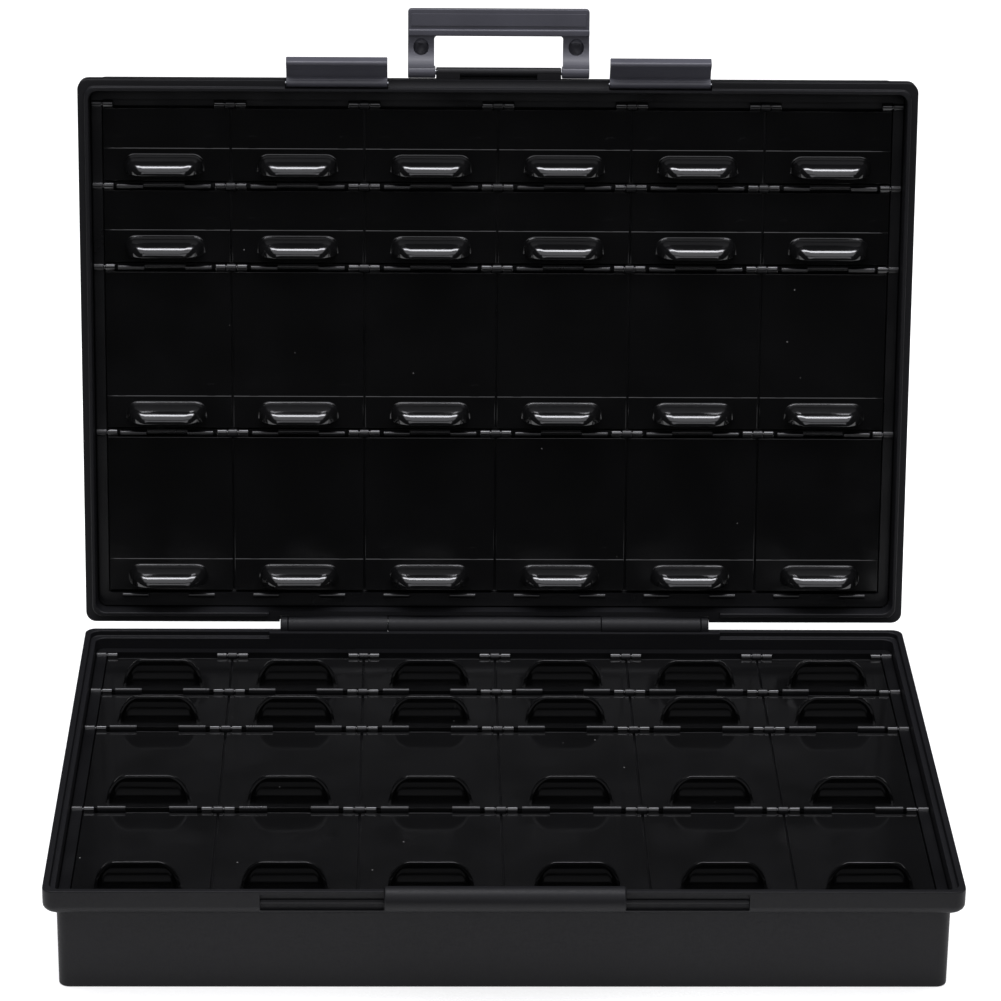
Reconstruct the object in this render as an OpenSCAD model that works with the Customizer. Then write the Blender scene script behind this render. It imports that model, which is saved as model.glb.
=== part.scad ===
// Hinged compartment storage box: two equal half shells with a lidded tray in each half.
// Millimetres, +Z up. Origin: middle of the base half's underside. The lid half stands open.

/* [Box] */
// Outer width across the rims
box_w = 262; // [200:1:340]
// Outer depth across the rims
box_d = 175; // [150:1:230]
// Height of each half, underside to rim
half_h = 33; // [29:0.5:48]
// Opening angle of the lid half
lid_open = 99; // [93:0.5:108]
// Slit between the two rims when the box is shut
rim_gap = 0.3; // [0.2:0.05:0.6]
// Clearance between pieces that move past each other
body_gap = 0.3; // [0.25:0.05:0.5]

/* [Shells] */
// Overhang of the rim flange past the wall below it
flange_out = 3.6; // [2.8:0.1:5]
// Height of the rim flange
flange_h = 8; // [7.5:0.1:10]
// Thickness of the flange at the rim
rim_t = 3.5; // [3.2:0.1:4.5]
// Thickness of the wall below the flange
wall_t = 2.2; // [1.6:0.1:3]
// Thickness of the shell floor
floor_t = 2; // [1.5:0.1:3]
// Radius of the outer corners and lower edges
corner_r = 3.2; // [2:0.1:4]
// Depth of the tray ledge below the rim
ledge_drop = 6.8; // [6.6:0.1:7.2]
// Distance of the sealing tongue from the rim's outer edge
tongue_in = 2.2; // [2:0.1:2.4]
// Thickness of the sealing tongue
tongue_t = 1.2; // [0.8:0.1:1.2]
// Height of the sealing tongue
tongue_h = 1.5; // [1:0.1:2]

/* [Main hinge] */
// Distance of the hinge axis behind the rims
hinge_back = 1.4; // [1.2:0.1:1.8]
// Outer radius of the hinge knuckles
barrel_r = 3.3; // [2.8:0.1:4]
// Radius of the hinge pin
pin_r = 1.25; // [1:0.05:1.6]
// Radial clearance of a turning pin
run_gap = 0.05; // [0.02:0.01:0.09]
// Length of the middle knuckle on the base half
knuckle_mid = 68.4; // [50:0.2:80]
// Length of each knuckle on the lid half
knuckle_side = 31.5; // [20:0.1:40]
// Width of each end ring on the base half
ring_w = 2.4; // [2:0.1:4]
// Height of the webs that carry the knuckles
web_h = 6; // [4:0.1:7]
// Reach of the opening stop behind the hinge axis
stop_len = 5; // [4:0.1:7]

/* [Trays] */
// Depth of one small compartment row
small_row = 26; // [20:0.1:32]
// Distance of the first hinge line from the rim's outer edge
first_line = 8.4; // [8.2:0.1:9.5]
// Distance of the last catch line from the rim's outer edge
last_line = 7.4; // [7:0.1:8.5]
// Thickness of the walls between compartments
divider_t = 1.6; // [1.2:0.1:2.2]
// Thickness of the tray's side walls
side_t = 1.5; // [1.2:0.1:2]
// Thickness of the tray floor
tray_floor = 1.2; // [1:0.1:2]
// Space below the tray floor
floor_gap = 0.4; // [0.3:0.1:1]
// Depth of the lid axes below the rim
axis_drop = 5.8; // [5.6:0.1:6]
// Depth of the tray's border strip below the rim
strip_drop = 5.3; // [5.1:0.1:5.5]
// Width of the border strip's step inside the tray's side wall
strip_in = 1; // [0.8:0.1:1.3]
// Depth of the compartment walls below the rim
divider_drop = 7.5; // [7.4:0.1:8]
// Radius of the small lid knuckles
knuckle_r = 1.25; // [1.15:0.05:1.35]
// Width of a tray knuckle
knuckle_w = 3; // [2.6:0.1:3.6]
// Thickness of the post below a tray knuckle
post_t = 1.4; // [1:0.1:1.5]
// Length of one catch rib
rib_len = 8.2; // [5:0.1:9]
// Distance of a rib's outer end from the middle of its compartment
rib_end = 14.7; // [11:0.1:15]
// Radius of a rib's rounded top
rib_r = 0.75; // [0.6:0.05:0.8]
// Thickness of the low wall between two ribs
bridge_t = 0.8; // [0.6:0.1:1]
// Reach of the locating ear past the tray's edge
ear_len = 1.3; // [0.8:0.1:1.4]

/* [Small lids] */
// Depth of the lid panels below the rim
panel_drop = 6; // [5.9:0.05:6.2]
// Thickness of the lid panels
panel_t = 1.2; // [1:0.05:1.2]
// Overlap of the knuckles' webs with the panel
web_lap = 0.4; // [0.35:0.05:0.6]
// Gap between the panels of neighbouring columns
side_gap = 1.2; // [1:0.1:1.4]
// Distance of a panel's edge from the hinge and catch lines
edge_gap = 1.6; // [1.55:0.05:1.8]
// Width of one lid knuckle
lid_knuckle_w = 3.2; // [2.4:0.1:4]
// Radius of the lid trunnions
trunnion_r = 0.75; // [0.6:0.05:0.8]
// Length of the lid trunnions
trunnion_len = 1.5; // [1.2:0.1:1.6]
// Width of the thumb hood
hood_w = 25; // [20:0.1:28]
// Height of the thumb hood above the panel
hood_h = 9.2; // [7:0.1:9.4]
// Radius of the hood's shoulders
hood_r = 6; // [4:0.1:7]
// Thickness of the hood
hood_t = 1.1; // [0.9:0.1:1.4]
// Distance of the hood's lip from the catch line
hood_lip = 4.6; // [3.5:0.1:6]
// Depth of the hood's level top
hood_top = 1.6; // [1:0.1:2.5]
// Depth of the hood's sloping back
hood_run = 4.2; // [3:0.1:6]

/* [Latches] */
// Distance of each latch's middle from the box middle
latch_x = 50.4; // [45:0.1:60]
// Width of a latch
latch_w = 31.5; // [20:0.1:31.6]
// Distance of the latch axis inside the lid's front face
latch_in = 1.1; // [1.05:0.05:1.3]
// Height of the latch axis above the lid's rim
latch_up = 1.9; // [1.85:0.05:2.2]
// Outer radius of the latch eye
latch_eye_r = 1.3; // [1.2:0.05:1.35]
// Radius of the latch pins
latch_pin_r = 0.6; // [0.5:0.05:0.65]
// Grip of a latch pin in the lid at each end
latch_pin_hold = 2; // [1.5:0.1:2.5]
// Thickness of the latch flap
flap_t = 2; // [1.6:0.1:2.5]
// Distance of the flap's inner face in front of the latch axis
flap_off = 1.4; // [1.35:0.05:1.6]
// Length of the flap below the latch axis
flap_len = 7.9; // [7.6:0.1:8.5]
// Thickness of the latch nose
nose_t = 0.9; // [0.7:0.1:1.1]
// Reach of the latch nose
nose_len = 1.2; // [1:0.05:1.3]
// Opening angle of the latches as the box is stored
latch_open = 60; // [50:1:105]
// Depth of the catch ridge below the base rim
catch_drop = 3.7; // [3.5:0.05:3.75]
// Radius of the catch ridge
catch_r = 0.8; // [0.6:0.05:0.85]
// Depth of the latch recess in the base front
recess_d = 1.3; // [1.2:0.05:1.4]
// Height of the latch recess
recess_h = 6.2; // [6.1:0.1:6.8]
// Height of the rim lip left above the recess
recess_lip = 0.8; // [0.6:0.1:1.2]
// Distance of the recess's outer end from the box middle
recess_end = 69.4; // [67:0.1:76]
// Radius of the rounded rail on the base front
rail_r = 3.7; // [3.3:0.05:3.75]
// Depth of the rail's axis below the base rim
rail_drop = 2.4; // [2.3:0.05:2.8]
// Distance of the rail's axis inside the front face
rail_in = 0.2; // [0.1:0.05:0.4]

/* [Handle] */
// Distance of the handle axis in front of the lid's front face
handle_out = 2.2; // [2.2:0.05:2.6]
// Height of the handle axis above the lid's rim
handle_up = 4.4; // [4.3:0.05:4.8]
// Outer radius of the handle eyes
handle_eye_r = 1.9; // [1.7:0.05:1.9]
// Radius of the handle pin
handle_pin_r = 0.9; // [0.7:0.05:1]
// Radius of the bar that carries the handle
bar_r = 1.5; // [1.4:0.05:1.6]
// Length of the bar that carries the handle
bar_len = 39; // [30:0.5:40]
// Length of the slot behind the bar
slot_len = 24; // [15:0.5:26]
// Web that closes the slot on the outside
slot_web = 0.8; // [0.6:0.1:1]
// Outer width of the handle
handle_w = 56.6; // [50:0.1:60]
// Width of a handle leg
leg_w = 8.2; // [6:0.1:8.5]
// Thickness of the handle plate
plate_t = 2.2; // [1.8:0.1:3]
// Reach of the handle from its axis
handle_len = 19.5; // [16:0.1:24]
// Depth of the handle grip
grip_d = 8.4; // [6:0.1:10]
// Depth of the grip's lip
grip_lip = 1.6; // [1.2:0.1:2.4]
// Height of the grip's lip
grip_lip_h = 1.5; // [1:0.1:1.6]

/* [Hidden] */
$fn = 64;
cols = 6;
eps = 0.01;
over = 1;
far = 40;
shell_col = [0.10, 0.10, 0.11];
tray_col = [0.16, 0.16, 0.17];
lid_col = [0.07, 0.07, 0.08];
latch_col = [0.13, 0.13, 0.14];
steel_col = [0.72, 0.73, 0.75];
half_w = box_w / 2;
half_d = box_d / 2;
lid_rim = half_h + rim_gap;
hinge_y = half_d + hinge_back;
hinge_z = half_h + rim_gap / 2;
inner_w = half_w - rim_t;
inner_d = half_d - rim_t;
body_w = half_w - flange_out - wall_t;
body_d = half_d - flange_out - wall_t;
tray_w = inner_w - body_gap;
tray_d = inner_d - body_gap;
cup_w = body_w - body_gap;
cup_d = body_d - body_gap;
strip_w = cup_w - strip_in;
pitch = (2 * tray_w - knuckle_w) / cols;
large_row = (box_d - first_line - last_line - 2 * small_row) / 2;
row_len = [small_row, small_row, large_row, large_row];
line_at = [
    first_line,
    first_line + small_row,
    first_line + 2 * small_row,
    first_line + 2 * small_row + large_row,
    first_line + 2 * small_row + 2 * large_row
];
axis_z = half_h - axis_drop;
panel_z = half_h - panel_drop;
divider_z = half_h - divider_drop;
strip_z = half_h - strip_drop;
ledge_z = half_h - ledge_drop;
tray_z = floor_t + floor_gap;
open_rear = half_d - first_line + knuckle_r + body_gap;
open_front = half_d - line_at[4] + edge_gap - 2 * body_gap;
knuckle_end = knuckle_mid / 2 + body_gap + knuckle_side;
ring_end = knuckle_end + body_gap + ring_w;
land_end = ring_end + rim_t;
latch_y = -half_d + latch_in;
latch_z = lid_rim + latch_up;
handle_y = -half_d - handle_out;
handle_z = lid_rim + handle_up;
rail_end = knuckle_mid / 2;
rail_back = -half_d + tongue_in;
stop_z = hinge_back * sin(lid_open)
    + (stop_len + hinge_back * cos(lid_open)) * cos(lid_open) / sin(lid_open) - body_gap;
// Piece to draw

// Rectangle with rounded corners
module rounded_rect(w, d, r) {
    square([w - 2 * r, d], center = true);
    square([w, d - 2 * r], center = true);
    for (sx = [-1, 1], sy = [-1, 1])
        translate([sx * (w / 2 - r), sy * (d / 2 - r)])
            circle(r = r);
}

// Upright outline with rounded lower corners
module trough_rect(w, h, r) {
    translate([-w / 2, r])
        square([w, h - r]);
    translate([-w / 2 + r, 0])
        square([w - 2 * r, h]);
    for (sx = [-1, 1])
        translate([sx * (w / 2 - r), r])
            circle(r = r);
}

// Block with rounded corners and rounded lower edges
module soft_block(w, d, h, r) {
    intersection() {
        linear_extrude(h)
            rounded_rect(w, d, r);
        rotate([90, 0, 0])
            linear_extrude(d + 2 * over, center = true)
                trough_rect(w, h, r);
        rotate([90, 0, 90])
            linear_extrude(w + 2 * over, center = true)
                trough_rect(d, h, r);
    }
}

// Round bar along X
module bar(r, len, y, z) {
    translate([-len / 2, y, z])
        rotate([0, 90, 0])
            cylinder(r = r, h = len);
}

// Half shell in the base position: flange on top, ledge for the tray inside
module half_shell() {
    difference() {
        union() {
            soft_block(box_w - 2 * flange_out, box_d - 2 * flange_out, half_h - over, corner_r);
            translate([0, 0, half_h - flange_h])
                soft_block(box_w, box_d, flange_h, corner_r);
        }
        translate([0, 0, floor_t])
            linear_extrude(half_h)
                rounded_rect(2 * body_w, 2 * body_d, corner_r / 2);
        translate([0, 0, ledge_z])
            linear_extrude(half_h)
                rounded_rect(2 * inner_w, 2 * inner_d, corner_r / 2);
        translate([-inner_w - ear_len - body_gap, half_d - line_at[3] - knuckle_r - body_gap, ledge_z])
            cube([2 * (inner_w + ear_len + body_gap), 2 * (knuckle_r + body_gap), ledge_drop - tongue_h]);
    }
}

// Ring that follows the rim, for the tongue and its seat
module rim_ring(outer_in, inner_in, h) {
    linear_extrude(h)
        difference() {
            rounded_rect(box_w - 2 * outer_in, box_d - 2 * outer_in, corner_r / 2);
            rounded_rect(box_w - 2 * inner_in, box_d - 2 * inner_in, corner_r / 2);
        }
}

// Stretch of the rear rim behind the hinge, where the tongue and its seat stop
module hinge_land(grow) {
    translate([-land_end - grow, 0, -over])
        cube([2 * (land_end + grow), box_d, half_h]);
}

// Puts closed pieces of the lid half in the open position
module lid_place() {
    translate([0, hinge_y, hinge_z])
        rotate([-lid_open, 0, 0])
            translate([0, -hinge_y, -hinge_z])
                children();
}

// Turns a piece of the base half over into the lid half
module turn_over() {
    translate([0, 0, 2 * hinge_z])
        rotate([180, 0, 0])
            children();
}

// Knuckles of the base half with their webs and the opening stop
module base_knuckles() {
    bar(barrel_r, knuckle_mid, hinge_y, hinge_z);
    translate([-knuckle_mid / 2, half_d - over, hinge_z - web_h])
        cube([knuckle_mid, hinge_back + over, web_h]);
    translate([-knuckle_mid / 2, hinge_y, hinge_z - barrel_r])
        cube([knuckle_mid, stop_len, barrel_r + stop_z]);
    for (side = [-1, 1])
        translate([side * (ring_end - ring_w / 2), 0, 0]) {
            bar(barrel_r, ring_w, hinge_y, hinge_z);
            translate([-ring_w / 2, half_d - over, hinge_z - web_h])
                cube([ring_w, hinge_back + over, web_h]);
        }
}

// Knuckles of the lid half with their webs, shut position
module lid_knuckles() {
    for (side = [-1, 1])
        translate([side * (knuckle_end - knuckle_side / 2), 0, 0]) {
            bar(barrel_r, knuckle_side, hinge_y, hinge_z);
            translate([-knuckle_side / 2, half_d - over, hinge_z])
                cube([knuckle_side, hinge_back + over, web_h]);
        }
}

// Room around the knuckles of the other half
module lid_knuckle_room() {
    for (side = [-1, 1])
        translate([side * (knuckle_end - knuckle_side / 2), 0, 0])
            bar(barrel_r + body_gap, knuckle_side + 2 * body_gap, hinge_y, hinge_z);
}

module base_knuckle_room() {
    bar(barrel_r + body_gap, knuckle_mid + 2 * body_gap, hinge_y, hinge_z);
    for (side = [-1, 1])
        translate([side * (ring_end - ring_w / 2), 0, 0])
            bar(barrel_r + body_gap, ring_w + 2 * body_gap, hinge_y, hinge_z);
}

// Rounded rail on the base front, up to the tongue; grow makes the room for it in the lid half
module front_rail(grow) {
    intersection() {
        bar(rail_r + grow, 2 * (rail_end + grow), -half_d + rail_in, half_h - rail_drop);
        translate([-half_w, rail_back - body_gap + grow - far, 0])
            cube([box_w, far, half_h + far]);
    }
}

// Recess for one latch in the base front
module latch_recess() {
    translate([-(recess_end - rail_end) / 2, -half_d - over, half_h - recess_h])
        cube([recess_end - rail_end, over + recess_d, recess_h - recess_lip]);
}

module base_shell() {
    color(shell_col)
        difference() {
            union() {
                difference() {
                    half_shell();
                    lid_knuckle_room();
                    translate([0, 0, half_h - tongue_h - body_gap])
                        difference() {
                            rim_ring(tongue_in - body_gap, rim_t + over, tongue_h + over);
                            hinge_land(0);
                        }
                    for (side = [-1, 1])
                        translate([side * (rail_end + recess_end) / 2, 0, 0])
                            latch_recess();
                }
                front_rail(0);
                for (side = [-1, 1])
                    translate([side * (rail_end + recess_end) / 2, 0, 0])
                        bar(catch_r, recess_end - rail_end, -half_d + recess_d, half_h - catch_drop);
                base_knuckles();
            }
            bar(pin_r, 2 * (ring_end + over), hinge_y, hinge_z);
        }
}

// Bar on the lid front that carries the handle
module handle_bar() {
    bar(bar_r, bar_len, handle_y, handle_z);
    difference() {
        translate([-bar_len / 2, handle_y, handle_z - bar_r])
            cube([bar_len, handle_out + over, 2 * bar_r]);
        translate([-slot_len / 2, handle_y - far, handle_z - far])
            cube([slot_len, far + handle_out, far + bar_r - slot_web]);
    }
}

// Opening in the lid's front flange for one latch
module latch_room() {
    translate([-latch_w / 2 - body_gap, -half_d - over, lid_rim - over])
        cube([
            latch_w + 2 * body_gap,
            over + latch_in + latch_eye_r + body_gap,
            over + latch_up + flap_off + flap_t + 3 * body_gap
        ]);
}

module lid_shell() {
    color(shell_col)
        lid_place()
            difference() {
                union() {
                    difference() {
                        turn_over()
                            half_shell();
                        base_knuckle_room();
                        front_rail(body_gap);
                        for (side = [-1, 1])
                            translate([side * latch_x, 0, 0])
                                latch_room();
                    }
                    translate([0, 0, lid_rim - tongue_h])
                        difference() {
                            rim_ring(tongue_in, tongue_in + tongue_t, tongue_h);
                            hinge_land(body_gap);
                        }
                    lid_knuckles();
                    handle_bar();
                }
                bar(pin_r + run_gap, 2 * (ring_end + over), hinge_y, hinge_z);
                bar(handle_pin_r, handle_w, handle_y, handle_z);
                for (side = [-1, 1])
                    translate([side * latch_x, 0, 0])
                        bar(latch_pin_r, latch_w + 2 * (body_gap + latch_pin_hold), latch_y, latch_z);
            }
}

module hinge_pin() {
    color(steel_col)
        bar(pin_r, 2 * ring_end, hinge_y, hinge_z);
}

// Left end of column c, counted from 0
function col_low(c) = (c - cols / 2) * pitch;

// Knuckle row of the tray on hinge line n
module tray_knuckles(n) {
    for (c = [1 : cols - 1])
        translate([col_low(c), half_d - line_at[n], 0]) {
            bar(knuckle_r, knuckle_w, 0, axis_z);
            translate([-knuckle_w / 2, -post_t / 2, divider_z - over])
                cube([knuckle_w, post_t, axis_z - divider_z + over]);
        }
    for (side = [-1, 1])
        translate([side * (strip_w + tray_w + (n == 3 ? ear_len : 0)) / 2, half_d - line_at[n], 0])
            intersection() {
                bar(knuckle_r, tray_w - strip_w + (n == 3 ? ear_len : 0), 0, axis_z);
                translate([-far, -far, ledge_z])
                    cube([2 * far, 2 * far, far]);
            }
}

// Holes for the lid trunnions on hinge line n
module trunnion_holes(n) {
    for (c = [1 : cols - 1])
        translate([col_low(c), 0, 0])
            bar(trunnion_r + run_gap, knuckle_w + over, half_d - line_at[n], axis_z);
    for (side = [-1, 1])
        translate([side * strip_w, 0, 0])
            bar(trunnion_r + run_gap, 2 * trunnion_len, half_d - line_at[n], axis_z);
}

// Catch ribs of the tray on line n
module tray_ribs(n) {
    for (c = [0 : cols - 1])
        translate([col_low(c) + pitch / 2, half_d - line_at[n], 0]) {
            for (side = [-1, 1])
                translate([side * (rib_end - rib_len / 2), 0, 0]) {
                    bar(rib_r, rib_len, 0, axis_z + knuckle_r - rib_r);
                    translate([-rib_len / 2, -rib_r, divider_z - over])
                        cube([rib_len, 2 * rib_r, over + axis_z + knuckle_r - rib_r - divider_z]);
                }
            translate([-rib_end + rib_len / 2, -bridge_t / 2, divider_z - over])
                cube([2 * rib_end - rib_len, bridge_t, over + axis_z - divider_z]);
        }
}

// One compartment
module cell(r, c) {
    low_x = c == 0 ? -cup_w + side_t : col_low(c) + divider_t / 2;
    high_x = c == cols - 1 ? cup_w - side_t : col_low(c + 1) - divider_t / 2;
    low_y = half_d - line_at[r + 1] + divider_t / 2;
    high_y = half_d - line_at[r] - divider_t / 2;
    translate([low_x, low_y, tray_z + tray_floor])
        cube([high_x - low_x, high_y - low_y, half_h]);
}

// Tray in the base position
module tray() {
    difference() {
        union() {
            difference() {
                union() {
                    translate([0, 0, tray_z])
                        linear_extrude(strip_z - tray_z)
                            rounded_rect(2 * cup_w, 2 * cup_d, corner_r / 2);
                    translate([0, 0, ledge_z])
                        linear_extrude(strip_z - ledge_z)
                            rounded_rect(2 * tray_w, 2 * tray_d, corner_r / 2);
                }
                translate([-strip_w, open_front, divider_z])
                    cube([2 * strip_w, open_rear - open_front, half_h]);
                for (r = [0 : 3], c = [0 : cols - 1])
                    cell(r, c);
            }
            for (n = [0 : 3])
                tray_knuckles(n);
            for (n = [1 : 4])
                tray_ribs(n);
        }
        for (n = [0 : 3])
            trunnion_holes(n);
    }
}

module base_tray() {
    color(tray_col)
        tray();
}

module lid_tray() {
    color(tray_col)
        lid_place()
            turn_over()
                tray();
}

// Upright outline of the thumb hood, reaching down by base
module hood_outline(w, h, r, base) {
    translate([0, h])
        mirror([0, 1])
            trough_rect(w, h + base, r);
}

// Solid form of the thumb hood between its lip and the foot of its sloping back
module hood_form(w, h, r, base, lip, foot) {
    difference() {
        translate([0, -foot, 0])
            rotate([90, 0, 0])
                linear_extrude(lip - foot)
                    hood_outline(w, h, r, base);
        translate([0, -foot, 0])
            rotate([atan(hood_run / hood_h), 0, 0])
                translate([-w, 0, -far])
                    cube([2 * w, far, 2 * far]);
    }
}

// Lid of the compartment in row r and column c, base position
module small_lid(r, c) {
    low = c == 0 ? -strip_w + body_gap : col_low(c) + side_gap / 2;
    high = c == cols - 1 ? strip_w - body_gap : col_low(c + 1) - side_gap / 2;
    pin_low = c == 0 ? low : col_low(c) + knuckle_w / 2 + body_gap;
    pin_high = c == cols - 1 ? high : col_low(c + 1) - knuckle_w / 2 - body_gap;
    lip = row_len[r] - hood_lip;
    foot = lip - hood_top - hood_run;
    slant = hood_t * sqrt(1 + pow(hood_run / hood_h, 2));
    hood_at = [col_low(c) + pitch / 2, 0, panel_z];
    translate([0, half_d - line_at[r], 0]) {
        difference() {
            union() {
                translate([low, -row_len[r] + edge_gap, panel_z - panel_t])
                    cube([high - low, row_len[r] - 2 * edge_gap, panel_t]);
                translate(hood_at)
                    hood_form(hood_w, hood_h, hood_r, panel_t / 2, lip, foot);
            }
            translate(hood_at)
                hood_form(
                    hood_w - 2 * hood_t, hood_h - hood_t, hood_r - hood_t, 0, lip + over, foot + slant
                );
        }
        for (start = [pin_low, pin_high - lid_knuckle_w])
            translate([start, 0, 0]) {
                translate([lid_knuckle_w / 2, 0, 0])
                    bar(knuckle_r, lid_knuckle_w, 0, axis_z);
                translate([0, -edge_gap - web_lap, axis_z - knuckle_r])
                    cube([lid_knuckle_w, edge_gap + web_lap, knuckle_r]);
            }
        for (start = [pin_low - trunnion_len, pin_high - over])
            translate([start + (trunnion_len + over) / 2, 0, 0])
                bar(trunnion_r, trunnion_len + over, 0, axis_z);
    }
}

module base_lid(r, c) {
    color(lid_col)
        small_lid(r - 1, c - 1);
}

module top_lid(r, c) {
    color(lid_col)
        lid_place()
            turn_over()
                small_lid(r - 1, c - 1);
}

// Latch outline around its axis, shut position, seen from the side
module latch_outline() {
    circle(r = latch_eye_r);
    polygon([
        [0, latch_eye_r],
        [-flap_off, latch_eye_r - nose_t / 2],
        [-flap_off - flap_t, -nose_t],
        [-flap_off - flap_t, -flap_len + nose_t],
        [-flap_off - flap_t + nose_t / 2, -flap_len],
        [-flap_off + nose_len, -flap_len],
        [-flap_off + nose_len, -flap_len + nose_t],
        [-flap_off, -flap_len + nose_t],
        [-flap_off, -latch_eye_r],
        [0, -latch_eye_r]
    ]);
}

module latch(side) {
    color(latch_col)
        lid_place()
            translate([side * latch_x - latch_w / 2, latch_y, latch_z])
                rotate([-latch_open, 0, 0])
                    rotate([90, 0, 90])
                        linear_extrude(latch_w)
                            difference() {
                                latch_outline();
                                circle(r = latch_pin_r + run_gap);
                            }
}

module latch_left() {
    latch(-1);
}

module latch_right() {
    latch(1);
}

module latch_pin(side) {
    color(steel_col)
        lid_place()
            translate([side * latch_x, 0, 0])
                bar(latch_pin_r, latch_w + 2 * (body_gap + latch_pin_hold), latch_y, latch_z);
}

module latch_pin_left() {
    latch_pin(-1);
}

module latch_pin_right() {
    latch_pin(1);
}

// Carrying handle, turned out in front of the lid half
module handle() {
    color(latch_col)
        lid_place()
            translate([0, handle_y, handle_z])
                difference() {
                    union() {
                        for (side = [-1, 1])
                            translate([side * (handle_w - leg_w) / 2, 0, 0]) {
                                bar(handle_eye_r, leg_w, 0, 0);
                                translate([-leg_w / 2, -handle_eye_r, 0])
                                    cube([leg_w, 2 * handle_eye_r, handle_eye_r + plate_t]);
                                translate([-leg_w / 2, -handle_len, handle_eye_r])
                                    cube([leg_w, handle_len, plate_t]);
                            }
                        translate([-handle_w / 2, -handle_len, handle_eye_r])
                            cube([handle_w, grip_d, plate_t]);
                        translate([-handle_w / 2, -handle_len + grip_d - grip_lip, handle_eye_r - grip_lip_h])
                            cube([handle_w, grip_lip, grip_lip_h + plate_t]);
                    }
                    bar(handle_pin_r + run_gap, handle_w + 2 * over, 0, 0);
                }
}

module handle_pin() {
    color(steel_col)
        lid_place()
            bar(handle_pin_r, handle_w - 2 * body_gap, handle_y, handle_z);
}

module base_lid_r1_c1() {
    base_lid(1, 1);
}

module base_lid_r1_c2() {
    base_lid(1, 2);
}

module base_lid_r1_c3() {
    base_lid(1, 3);
}

module base_lid_r1_c4() {
    base_lid(1, 4);
}

module base_lid_r1_c5() {
    base_lid(1, 5);
}

module base_lid_r1_c6() {
    base_lid(1, 6);
}

module base_lid_r2_c1() {
    base_lid(2, 1);
}

module base_lid_r2_c2() {
    base_lid(2, 2);
}

module base_lid_r2_c3() {
    base_lid(2, 3);
}

module base_lid_r2_c4() {
    base_lid(2, 4);
}

module base_lid_r2_c5() {
    base_lid(2, 5);
}

module base_lid_r2_c6() {
    base_lid(2, 6);
}

module base_lid_r3_c1() {
    base_lid(3, 1);
}

module base_lid_r3_c2() {
    base_lid(3, 2);
}

module base_lid_r3_c3() {
    base_lid(3, 3);
}

module base_lid_r3_c4() {
    base_lid(3, 4);
}

module base_lid_r3_c5() {
    base_lid(3, 5);
}

module base_lid_r3_c6() {
    base_lid(3, 6);
}

module base_lid_r4_c1() {
    base_lid(4, 1);
}

module base_lid_r4_c2() {
    base_lid(4, 2);
}

module base_lid_r4_c3() {
    base_lid(4, 3);
}

module base_lid_r4_c4() {
    base_lid(4, 4);
}

module base_lid_r4_c5() {
    base_lid(4, 5);
}

module base_lid_r4_c6() {
    base_lid(4, 6);
}

module top_lid_r1_c1() {
    top_lid(1, 1);
}

module top_lid_r1_c2() {
    top_lid(1, 2);
}

module top_lid_r1_c3() {
    top_lid(1, 3);
}

module top_lid_r1_c4() {
    top_lid(1, 4);
}

module top_lid_r1_c5() {
    top_lid(1, 5);
}

module top_lid_r1_c6() {
    top_lid(1, 6);
}

module top_lid_r2_c1() {
    top_lid(2, 1);
}

module top_lid_r2_c2() {
    top_lid(2, 2);
}

module top_lid_r2_c3() {
    top_lid(2, 3);
}

module top_lid_r2_c4() {
    top_lid(2, 4);
}

module top_lid_r2_c5() {
    top_lid(2, 5);
}

module top_lid_r2_c6() {
    top_lid(2, 6);
}

module top_lid_r3_c1() {
    top_lid(3, 1);
}

module top_lid_r3_c2() {
    top_lid(3, 2);
}

module top_lid_r3_c3() {
    top_lid(3, 3);
}

module top_lid_r3_c4() {
    top_lid(3, 4);
}

module top_lid_r3_c5() {
    top_lid(3, 5);
}

module top_lid_r3_c6() {
    top_lid(3, 6);
}

module top_lid_r4_c1() {
    top_lid(4, 1);
}

module top_lid_r4_c2() {
    top_lid(4, 2);
}

module top_lid_r4_c3() {
    top_lid(4, 3);
}

module top_lid_r4_c4() {
    top_lid(4, 4);
}

module top_lid_r4_c5() {
    top_lid(4, 5);
}

module top_lid_r4_c6() {
    top_lid(4, 6);
}

base_shell();
base_tray();
lid_shell();
lid_tray();
hinge_pin();
latch_left();
latch_right();
latch_pin_left();
latch_pin_right();
handle();
handle_pin();
base_lid_r1_c1();
base_lid_r1_c2();
base_lid_r1_c3();
base_lid_r1_c4();
base_lid_r1_c5();
base_lid_r1_c6();
base_lid_r2_c1();
base_lid_r2_c2();
base_lid_r2_c3();
base_lid_r2_c4();
base_lid_r2_c5();
base_lid_r2_c6();
base_lid_r3_c1();
base_lid_r3_c2();
base_lid_r3_c3();
base_lid_r3_c4();
base_lid_r3_c5();
base_lid_r3_c6();
base_lid_r4_c1();
base_lid_r4_c2();
base_lid_r4_c3();
base_lid_r4_c4();
base_lid_r4_c5();
base_lid_r4_c6();
top_lid_r1_c1();
top_lid_r1_c2();
top_lid_r1_c3();
top_lid_r1_c4();
top_lid_r1_c5();
top_lid_r1_c6();
top_lid_r2_c1();
top_lid_r2_c2();
top_lid_r2_c3();
top_lid_r2_c4();
top_lid_r2_c5();
top_lid_r2_c6();
top_lid_r3_c1();
top_lid_r3_c2();
top_lid_r3_c3();
top_lid_r3_c4();
top_lid_r3_c5();
top_lid_r3_c6();
top_lid_r4_c1();
top_lid_r4_c2();
top_lid_r4_c3();
top_lid_r4_c4();
top_lid_r4_c5();
top_lid_r4_c6();
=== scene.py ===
import math

import bpy
from mathutils import Matrix, Vector


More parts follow.
